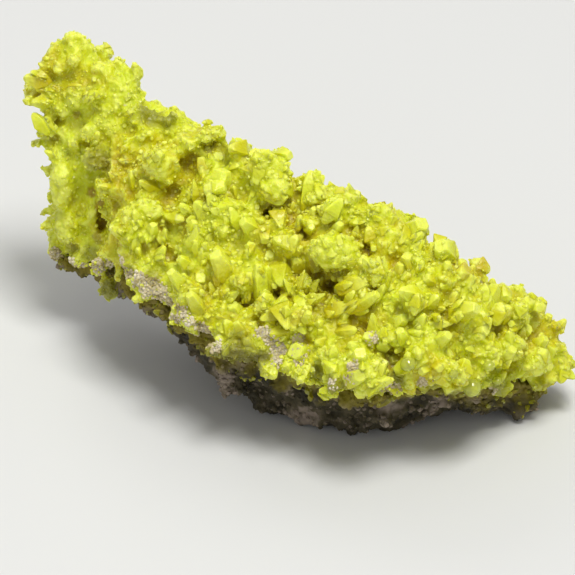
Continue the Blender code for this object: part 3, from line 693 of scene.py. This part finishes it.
class Shading:
    """A new material with its shader, and short ways to add nodes to it."""

    def __init__(self, name, values):
        self.material = bpy.data.materials.new(name)
        self.material.use_nodes = True
        self.nodes = self.material.node_tree.nodes
        self.links = self.material.node_tree.links
        self.shader = self.nodes["Principled BSDF"]
        self.position = self.nodes.new("ShaderNodeTexCoord").outputs["Object"]
        for socket, value in values.items():
            self.shader.inputs[socket].default_value = value

    def give(self, socket, value):
        """Links a node's output to the socket, or sets it to a number or a colour."""
        if isinstance(value, bpy.types.NodeSocket):
            self.links.new(value, socket)
        else:
            socket.default_value = (*value, 1.0) if isinstance(value, tuple) else value

    def attribute(self, name):
        node = self.nodes.new("ShaderNodeAttribute")
        node.attribute_name = name
        return node.outputs["Fac"]

    def noise(self, scale, detail=4.0):
        texture = self.nodes.new("ShaderNodeTexNoise")
        texture.inputs["Scale"].default_value = scale
        texture.inputs["Detail"].default_value = detail
        self.links.new(self.position, texture.inputs["Vector"])
        return texture.outputs["Fac"]

    def cells(self, scale):
        texture = self.nodes.new("ShaderNodeTexVoronoi")
        texture.inputs["Scale"].default_value = scale
        self.links.new(self.position, texture.inputs["Vector"])
        return texture.outputs["Distance"]

    def maths(self, operation, first, second):
        node = self.nodes.new("ShaderNodeMath")
        node.operation = operation
        self.give(node.inputs[0], first)
        self.give(node.inputs[1], second)
        return node.outputs[0]

    def ranged(self, value, from_low, from_high, low, high):
        """The value with one range stretched over another, and held at its ends."""
        node = self.nodes.new("ShaderNodeMapRange")
        sockets = ("Value", "From Min", "From Max", "To Min", "To Max")
        for socket, given in zip(sockets, (value, from_low, from_high, low, high)):
            self.give(node.inputs[socket], given)
        return node.outputs["Result"]

    def mixed(self, share, first, second):
        node = self.nodes.new("ShaderNodeMix")
        node.data_type = "RGBA"
        for socket, given in (("Factor", share), ("A", first), ("B", second)):
            self.give(node.inputs[socket], given)
        return node.outputs["Result"]

    def ramp(self, share, stops):
        node = self.nodes.new("ShaderNodeValToRGB")
        elements = node.color_ramp.elements
        while len(elements) < len(stops):
            elements.new(0.5)
        for element, (place, colour) in zip(elements, stops):
            element.position = place
            element.color = (*colour, 1.0)
        self.links.new(share, node.inputs["Fac"])
        return node.outputs["Color"]

    def bump(self, height, strength, distance):
        node = self.nodes.new("ShaderNodeBump")
        node.inputs["Strength"].default_value = strength
        node.inputs["Distance"].default_value = distance
        self.links.new(height, node.inputs["Height"])
        self.links.new(node.outputs["Normal"], self.shader.inputs["Normal"])

    def finished(self, colour, gloss_scale=None, low=0.0, high=1.0):
        """The material with this colour, and with a roughness from low to high if it varies."""
        self.links.new(colour, self.shader.inputs["Base Color"])
        if gloss_scale:
            roughness = self.ranged(self.noise(gloss_scale), 0.3, 0.7, low, high)
            self.links.new(roughness, self.shader.inputs["Roughness"])
        return self.material


def sulfur_material(name, scatter, grain):
    """Translucent sulfur: light spreads in it over the scatter distance, and grain roughens it."""
    values = {"IOR": 1.96, "Specular IOR Level": 0.2, "Subsurface Weight": 1.0, "Subsurface Scale": scatter}
    shade = Shading(name, values)
    shade.shader.inputs["Subsurface Radius"].default_value = (1.0, 0.95, 0.10)
    tint = shade.maths("MULTIPLY", shade.attribute("tint"), 0.22)
    colour = shade.ramp(shade.maths("ADD", shade.noise(70.0, 3.0), tint), YELLOWS)
    # Painted highlight: paler where the surface stands out and towards the crystals' tips.
    highlight_share = shade.ranged(shade.attribute("stand"), 0.03, 0.18, 0.0, 0.75)
    colour = shade.mixed(highlight_share, colour, PAINTED_TIP_HIGHLIGHT)
    # Painted shade: amber in the gaps, where the nearby surface hides the sky, and at the crystals' feet.
    amber_shade = shade.ranged(shade.attribute("gap_shade"), 0.26, 0.80, 0.0, 0.66)
    colour = shade.mixed(amber_shade, colour, AMBER_GAP_SHADE)
    # Painted shade: brown in the deep recesses and at the listed brown places.
    brown_shade = shade.ranged(shade.attribute("recess_shade"), 0.58, 0.95, 0.0, 0.85)
    colour = shade.mixed(brown_shade, colour, BROWN_RECESS_SHADE)
    # Painted shade: dull olive at the listed places, and on the crystals of the rock.
    olive_shade = shade.maths("MULTIPLY", shade.attribute("olive_shade"), 0.9)
    colour = shade.mixed(olive_shade, colour, OLIVE_SHADE_COLOUR)
    dusty = shade.maths("ADD", shade.attribute("crumbs"), shade.noise(900.0, 3.0))
    colour = shade.mixed(shade.ranged(dusty, 0.95, 1.15, 0.0, 0.85), colour, DUSTING)
    shade.bump(shade.maths("SUBTRACT", shade.noise(1500.0, 5.0), shade.cells(1100.0)), grain, 0.3 * MM)
    return shade.finished(colour, 500.0, 0.2, 0.55)


def crumb_material():
    shade = Shading("rock_crumb", {"Roughness": 0.8})
    tint = shade.maths("MULTIPLY", shade.attribute("tint"), 0.3)
    shade.bump(shade.noise(4000.0, 5.0), 0.5, 0.1 * MM)
    return shade.finished(shade.ramp(shade.maths("ADD", shade.noise(260.0), tint), CHALKS))


def clear_material():
    """See-through crystal: plain transmission, index and absorption."""
    shade = Shading("clear_crystal", {"Roughness": 0.06, "IOR": 1.6, "Transmission Weight": 0.6})
    shade.shader.inputs["Base Color"].default_value = (0.86, 0.90, 0.12, 1.0)
    absorption = shade.nodes.new("ShaderNodeVolumeAbsorption")
    absorption.inputs["Color"].default_value = (0.88, 0.92, 0.20, 1.0)
    absorption.inputs["Density"].default_value = 120.0
    shade.links.new(absorption.outputs["Volume"], shade.nodes["Material Output"].inputs["Volume"])
    shade.bump(shade.noise(1800.0), 0.3, 0.1 * MM)
    return shade.material


def rock_material():
    """Host rock: dark and pale patches, painted shade in its recesses, and sulfur stains near the crust."""
    shade = Shading("host_rock", {})
    tint = shade.maths("MULTIPLY", shade.attribute("tint"), 0.16)
    colour = shade.ramp(shade.maths("ADD", shade.noise(160.0, 8.0), tint), STONES)
    # Painted shade: darker where the nearby rock hides the sky.
    depth = shade.ranged(shade.attribute("recess_shade"), 0.45, 0.9, 0.0, 0.8)
    colour = shade.mixed(depth, colour, STONE_RECESS_SHADE)
    streaks = shade.maths("ADD", shade.attribute("stain"), shade.noise(300.0))
    streaks = shade.maths("ADD", streaks, shade.noise(90.0))
    colour = shade.mixed(shade.ranged(streaks, 1.30, 1.75, 0.0, 0.9), colour, SULFUR_STAIN)
    shade.bump(shade.noise(1800.0, 8.0), 0.7, 0.3 * MM)
    return shade.finished(colour, 600.0, 0.6, 0.95)


def dress(thing, material):
    thing.data.materials.clear()
    thing.data.materials.append(material)
    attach(thing, BODY)


# ---------------------------------------------------------------- the specimen


def lumpy_base():
    """The crust with its lumps, as one smooth closed surface that the crystals are seated on."""
    crust = node_arrays(CRUST)
    tree = BVHTree.FromPolygons(crust[0].tolist(), crust[1].tolist())
    pieces = [crust]
    for across, down, half_width, half_height, turn, lift in LUMPS:
        place = (across, down, half_width, half_height)
        pieces.append(view_lump(tree, place, math.radians(turn), lift))
    base = mesh_object("base", *joined(pieces))
    bake(base, "REMESH", mode="VOXEL", voxel_size=FORM_VOXEL)
    bake(base, "SMOOTH", factor=0.5, iterations=2)
    press_hollows(base)
    bake(base, "REMESH", mode="VOXEL", voxel_size=FORM_VOXEL)
    stress_forms(base)
    bake(base, "REMESH", mode="VOXEL", voxel_size=BASE_VOXEL)
    vertices, _ = arrays_of(base)
    relief = (0.3 - cells_of(vertices, 330.0)) * 0.8 + (0.3 - cells_of(vertices, 700.0)) * 0.9
    relief *= 1.0 - 0.25 * near_share(tree_of(base), CALM, vertices)
    move_vertices(base, vertices + normals_of(base) * (relief * MM)[:, None])
    return base


# How far the forms are exaggerated: a share of how far they stand out, and its limits.
STRESS = 0.6
DEEPEST = 2.4 * MM
HIGHEST = 1.4 * MM


def stress_forms(base):
    """Makes lumps stand out further and hollows lie deeper, against the smoothed surface."""
    vertices, _ = arrays_of(base)
    smooth = base.copy()
    smooth.data = base.data.copy()
    bpy.context.scene.collection.objects.link(smooth)
    bake(smooth, "SMOOTH", factor=0.8, iterations=45)
    level, _ = arrays_of(smooth)
    normals = normals_of(smooth)
    bpy.data.objects.remove(smooth)
    stand = np.sum((vertices - level) * normals, axis=1)
    push = np.clip(stand * STRESS, -DEEPEST, HIGHEST)
    move_vertices(base, vertices + normals * push[:, None])


def press_hollows(base):
    """Moves the surface away from the eye round each hollow, deepest in its middle."""
    tree = tree_of(base)
    vertices, _ = arrays_of(base)
    moved = vertices.copy()
    uneven = 1.0 + 0.9 * noise_of(vertices, 350.0, 5.0)
    for across, down, radius, depth in HOLLOWS:
        seat, back = seat_at(tree, (across, down))
        offset = vertices - np.array(seat)
        along = offset @ np.array(back)
        aside = np.linalg.norm(offset - along[:, None] * np.array(back), axis=1) / (radius * PIXEL)
        aside *= uneven
        share = np.clip(1.25 - aside, 0.0, 1.0) ** 2 * (3.0 - 2.0 * np.clip(1.25 - aside, 0.0, 1.0))
        share *= np.clip(1.5 + along / (8.0 * MM), 0.0, 1.0)
        moved -= np.array(back) * (share * depth * MM)[:, None]
    move_vertices(base, moved)


def near_share(tree, spots, points):
    """1 in the middle of the spots on the surface, falling to 0 a little past their radii."""
    share = np.zeros(len(points))
    for across, down, radius, *strength in spots:
        seat, _ = seat_at(tree, (across, down))
        reach = np.linalg.norm(points - np.array(seat), axis=1) / (radius * PIXEL)
        full = strength[0] if strength else 1.0
        share = np.maximum(share, full * np.clip((1.3 - reach) / 0.6, 0.0, 1.0))
    return share


def placed_crystals(tree, dice):
    centres, axes, widths, lengths, names, twists = [], [], [], [], [], []
    for across, down, half_width, half_length, way, lean, habit, twist in CRYSTALS:
        seat, back = seat_at(tree, (across, down))
        lean = math.radians(lean)
        axes.append(across_view(math.radians(way)) * math.cos(lean) + back * math.sin(lean))
        centres.append(seat + back * ((2.0 - half_width * 0.3) * PIXEL))
        widths.append(half_width * PIXEL)
        lengths.append(half_length * PIXEL)
        names.append(habit)
        twists.append(math.radians(twist))
    return Crystals(centres, axes, widths, lengths, names, dice, twists, -0.3)


# The largest half-sizes of the crystals beside the placed ones.
BESIDE_WIDTH = 1.3 * MM
BESIDE_LENGTH = 2.2 * MM


def grown_beside(crystals, each, dice):
    """Smaller crystals that grow beside the placed ones, nearly the same way."""
    number = len(crystals.centres) * each
    axes = np.repeat(crystals.axes, each, axis=0)
    widths = np.repeat(crystals.sizes[:, 0], each)
    lengths = np.repeat(crystals.sizes[:, 2], each)
    aside = unit(np.cross(axes, dice.normal(0.0, 1.0, (number, 3))))
    centres = np.repeat(crystals.centres, each, axis=0)
    centres += aside * (widths * dice.uniform(0.6, 1.0, number))[:, None]
    centres -= axes * (lengths * dice.uniform(0.0, 0.5, number))[:, None]
    axes = unit(axes + dice.normal(0.0, 0.22, axes.shape))
    widths = np.minimum(widths * dice.uniform(0.35, 0.65, number), BESIDE_WIDTH)
    lengths = np.minimum(lengths * dice.uniform(0.35, 0.65, number), BESIDE_LENGTH)
    return Crystals(centres, axes, widths, lengths, dice.choice(MIXED, number), dice)


def clear_crystals(tree):
    """The rounded see-through crystals, half out of the mass."""
    vertices, triangles = ball(3)
    vertices *= 1.0 - 0.16 * cells_of(vertices, 1.9)[:, None]
    pieces = []
    for across, down, half_width, half_height, way in CLEAR:
        seat, back = seat_at(tree, (across, down))
        side = across_view(math.radians(way))
        axes = np.array((side, back.cross(side), back))
        sizes = np.array((half_width, half_height, half_width)) * PIXEL
        centre = seat + back * (half_width * 1.05 * PIXEL)
        pieces.append(((vertices * sizes) @ axes + np.array(centre), triangles))
    return mesh_object("crystals_clear", *joined(pieces), True)


# How large the scattered crystals grow along X, from the tower on, and how deep the calm ones stand.
SEAT_TRIES = 60000
SWELL_AT = (-30.0, -18.0, 0.0, 30.0, 50.0)
SWELL = (0.9, 1.1, 1.05, 0.85)
FLUSH = 0.86


def outside(crystals):
    """A test that is true for the points that are inside none of the crystals."""

    def test(points, normals):
        free = np.ones(len(points), bool)
        for centre, axis, size in zip(crystals.centres, crystals.axes, crystals.sizes):
            offset = points - centre
            along = offset @ axis
            across = np.linalg.norm(offset - along[:, None] * axis, axis=1)
            free &= (along / size[2]) ** 2 + (across / size[0]) ** 2 > 1.0
        return free

    return test


def scattered(base, spacing, dice, keep, widths, sunk, lean, left=1.0, calm=None):
    """Crystals of random size that stand on the base, with their tips outwards.

    Widths are in mm, sunk is the share of a half-length below the surface, lean spreads the tips, left is
    the size at the tower, and the crystals of calm places are sunk nearly flush.
    """
    points, normals = seats_on(base, spacing, SEAT_TRIES, dice, keep)
    number = len(points)
    axes = unit(normals + dice.normal(0.0, lean, normals.shape))
    swell = np.interp(points[:, 0] / MM, SWELL_AT, (left, *SWELL))
    swell *= 1.0 + 0.5 * noise_of(points, 90.0, 3.0)
    width = dice.uniform(*widths, number) * MM * swell
    length = width * dice.uniform(1.1, 1.7, number)
    deep = np.full(number, sunk)
    if calm is not None:
        deep += calm(points) * (FLUSH - sunk)
    centres = points - axes * (length * deep)[:, None]
    return Crystals(centres, axes, width, length, dice.choice(MIXED, number), dice, None, sunk)


# The crystals' size in the fused body, beside their crisp size of 1.
INNER_SCALE = 0.93


def fused_body(base, groups):
    """The base and all the crystals on it as one closed body, just inside the crisp crystals."""
    pieces = [arrays_of(base)] + [group.arrays(SHARP, INNER_SCALE)[0] for group in groups]
    body = mesh_object("sulfur_body", *joined(pieces))
    bake(body, "REMESH", mode="VOXEL", voxel_size=BODY_VOXEL)
    number = len(arrays_of(body)[1])
    bake(body, "DECIMATE", ratio=min(1.0, BODY_TRIANGLES / number))
    shade_faces(body, False)

    vertices, _ = arrays_of(body)
    centres = np.concatenate([group.centres for group in groups])
    tints = np.concatenate([group.tints for group in groups])
    near = tree_of_points(centres)
    set_attribute(body, "tint", tints[nearest_in(near, vertices)])
    # Painted highlight where the body stands out, at a small and a large scale.
    set_attribute(body, "stand", bulge(body, 6) + 0.12 * bulge(body, 40))
    body_tree, normals = tree_of(body), normals_of(body)
    # Painted shade: the share of sky hidden nearby, for the gaps, and farther off, for the recesses.
    shares = {
        "gap_shade": smoothed(body, hidden_share(body_tree, vertices, normals, reach=4 * MM, rays=8), 2),
        "recess_shade": smoothed(body, hidden_share(body_tree, vertices, normals, reach=16 * MM, rays=12), 4),
    }
    return body, shares


def stones(name, points, low, high, dice):
    """Small uneven stones at these points, with half-sizes between low and high."""
    vertices, triangles = ball(1)
    number = len(points)
    turns = turns_towards(unit(dice.normal(0.0, 1.0, (number, 3))), dice.uniform(0.0, math.pi, number))
    sizes = dice.uniform(low, high, (number, 1, 1)) * dice.uniform(0.6, 1.0, (number, 1, 3))
    uneven = vertices[None] * dice.uniform(0.75, 1.15, (number, len(vertices), 1)) * sizes
    thing = mesh_object(name, *laid_out(uneven, triangles, turns, points))
    set_attribute(thing, "tint", np.repeat(dice.random(number), len(vertices)))
    return thing


def build_sulfur(dice):
    mass = sulfur_material("sulfur_mass", 1.2 * MM, 0.9)
    crisp = sulfur_material("sulfur_crystal", 0.5 * MM, 0.5)
    base = lumpy_base()
    base_tree = tree_of(base)
    placed = placed_crystals(base_tree, dice)
    clear = outside(placed)
    beside = grown_beside(placed, 4, dice)
    droplets = clear_crystals(base_tree)

    def calm(points):
        return near_share(base_tree, CALM, points)

    def restless(points, normals):
        facing = np.clip(2.0 * (normals @ np.array(VIEW_BACK)), 0.0, 1.0)
        return clear(points, normals) & (calm(points) * facing < dice.random(len(points)))

    middle = scattered(base, 3.3 * MM, dice, clear, (1.2, 2.4), sunk=0.6, lean=0.28, left=0.4, calm=calm)
    small = scattered(base, 1.65 * MM, dice, restless, (0.45, 1.0), sunk=0.5, lean=0.35, left=0.8)
    body, shares = fused_body(base, (placed, beside, middle, small))
    vertices, _ = arrays_of(body)
    near = tree_of_points(vertices)
    # Painted shade: dull olive at the listed places, and brown at the listed recesses as well as the hidden
    # ones.
    shares["olive_shade"] = near_share(base_tree, OLIVE_SHADE_SPOTS, vertices)
    shares["recess_shade"] = np.maximum(shares["recess_shade"], near_share(base_tree, BROWN_SHADE_SPOTS, vertices))
    for share, values in shares.items():
        set_attribute(body, share, values)
    set_attribute(body, "crumbs", near_share(base_tree, CRUMBS + DUST, vertices))

    def in_patches(points, normals):
        return noise_of(points, 160.0, 7.0) > 0.22

    def dusty(points, normals):
        return near_share(base_tree, CRUMBS, points) * 0.9 > dice.random(len(points))

    fine = scattered(body, 0.9 * MM, dice, in_patches, (0.22, 0.42), sunk=0.3, lean=0.5)
    points, _ = seats_on(body, 0.45 * MM, 200000, dice, dusty)
    crumbs = stones("rock_crumbs", points, 0.22 * MM, 0.60 * MM, dice)
    dress(droplets, clear_material())
    dress(crumbs, crumb_material())
    dress(body, mass)
    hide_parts("sulfur_crust")
    for name, crystals, templates in (
        ("crystals_large", placed, BEVELLED),
        ("crystals_beside", beside, SHARP),
        ("crystals_middle", middle, HALVES),
        ("crystals_small", small, TIPS),
        ("crystals_fine", fine, TIPS),
    ):
        dress(crisp_object(name, crystals, templates, near, shares), crisp)
    bpy.data.objects.remove(base)
    return crisp


def build_rock(crisp, dice):
    rock_pieces = [node_arrays(ROCK)]
    rock_tree = BVHTree.FromPolygons(rock_pieces[0][0].tolist(), rock_pieces[0][1].tolist())
    for place in ROCK_LUMPS:
        rock_pieces.append(view_lump(rock_tree, place))
    rock = mesh_object("rock_body", *joined(rock_pieces))
    bake(rock, "REMESH", mode="VOXEL", voxel_size=BASE_VOXEL)
    bake(rock, "SMOOTH", factor=0.5, iterations=2)
    vertices, triangles = arrays_of(rock)
    relief = noise_of(vertices, 220.0) * 0.8 + (0.25 - cells_of(vertices, 330.0)) * 1.6
    relief += (0.25 - cells_of(vertices, 850.0)) * 0.9
    moved = vertices + normals_of(rock) * (relief * MM)[:, None]
    moved[:, 2] = np.maximum(moved[:, 2], 0.0)
    move_vertices(rock, moved)
    bake(rock, "DECIMATE", ratio=min(1.0, ROCK_TRIANGLES / len(triangles)))
    shade_faces(rock, True)
    vertices, _ = arrays_of(rock)
    # Painted shade in the rock's recesses, by the share of sky hidden nearby.
    recess_shade = hidden_share(tree_of(rock), vertices, normals_of(rock), reach=6 * MM, rays=10)
    set_attribute(rock, "recess_shade", recess_shade)
    crust = node_arrays(CRUST)
    crust_tree = BVHTree.FromPolygons(crust[0].tolist(), crust[1].tolist())
    gaps = np.array([crust_tree.find_nearest(Vector(point))[3] for point in vertices.tolist()])
    stain = np.clip(1.0 - gaps / (9.0 * MM), 0.0, 1.0)
    set_attribute(rock, "stain", stain)
    stone = rock_material()
    dress(rock, stone)
    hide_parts("matrix")

    near = tree_of_points(vertices)

    def grainy(points, normals):
        return (noise_of(points, 180.0, 9.0) > -0.1) & (points[:, 2] > 1.5 * MM)

    def stained(points, normals):
        patches = stain[nearest_in(near, points)] + noise_of(points, 150.0, 4.0)
        return (patches > 0.62) & (points[:, 2] > 2.0 * MM)

    points, _ = seats_on(rock, 1.1 * MM, 40000, dice, grainy)
    grains = stones("rock_grains", points, 0.35 * MM, 0.95 * MM, dice)
    beside = nearest_in(near, arrays_of(grains)[0])
    set_attribute(grains, "stain", stain[beside])
    set_attribute(grains, "recess_shade", recess_shade[beside])
    dress(grains, stone)
    number = len(vertices)
    # The crystals on the rock get painted olive shade and some painted amber shade all over.
    shares = {"olive_shade": np.full(number, 0.85), "gap_shade": np.full(number, 0.3), "recess_shade": np.zeros(number)}
    sprinkled = scattered(rock, 1.6 * MM, dice, stained, (0.45, 1.0), sunk=0.5, lean=0.4)
    dress(crisp_object("crystals_on_rock", sprinkled, TIPS, near, shares), crisp)


# ---------------------------------------------------------------- the studio


LIGHTS_AIM = Vector((0.0, 0.0, 20.0)) * MM


def area_light(name, place, size, power):
    light = bpy.data.lights.new(name, "AREA")
    light.shape = "SQUARE"
    light.size = size
    light.energy = power
    thing = bpy.data.objects.new(name, light)
    thing.location = place
    towards = LIGHTS_AIM - Vector(place)
    thing.rotation_euler = towards.to_track_quat("-Z", "Y").to_euler()
    bpy.context.scene.collection.objects.link(thing)


def build_stage():
    scene = bpy.context.scene
    scene.view_settings.view_transform = "Standard"
    bpy.ops.mesh.primitive_plane_add(size=6.0, location=(0.0, 0.0, 0.0))
    floor = bpy.context.object
    floor.name = "floor"
    values = {"Base Color": (0.72, 0.72, 0.70, 1.0), "Roughness": 0.6}
    floor.data.materials.append(Shading("floor", values).material)

    world = bpy.data.worlds.new("studio")
    world.use_nodes = True
    background = world.node_tree.nodes["Background"]
    background.inputs["Color"].default_value = (1.0, 1.0, 1.0, 1.0)
    background.inputs["Strength"].default_value = 0.35
    scene.world = world

    area_light("key", (0.14, -0.16, 0.85), size=0.32, power=5.8)
    area_light("fill", (-0.50, -0.80, 0.40), size=0.6, power=0.7)
    area_light("back", (-0.35, 0.65, 0.50), size=0.5, power=1.6)

    camera = bpy.data.cameras.new("camera")
    camera.sensor_width = SENSOR
    camera.lens = SENSOR * CAMERA_DISTANCE / (PHOTO_SIDE * PIXEL)
    camera.clip_end = 10.0
    eye = bpy.data.objects.new("camera", camera)
    turn = Matrix((VIEW_RIGHT, VIEW_UP, VIEW_BACK)).transposed().to_4x4()
    eye.matrix_world = Matrix.Translation(EYE) @ turn
    scene.collection.objects.link(eye)
    scene.camera = eye


crystal = build_sulfur(np.random.default_rng(11))
build_rock(crystal, np.random.default_rng(12))
build_stage()
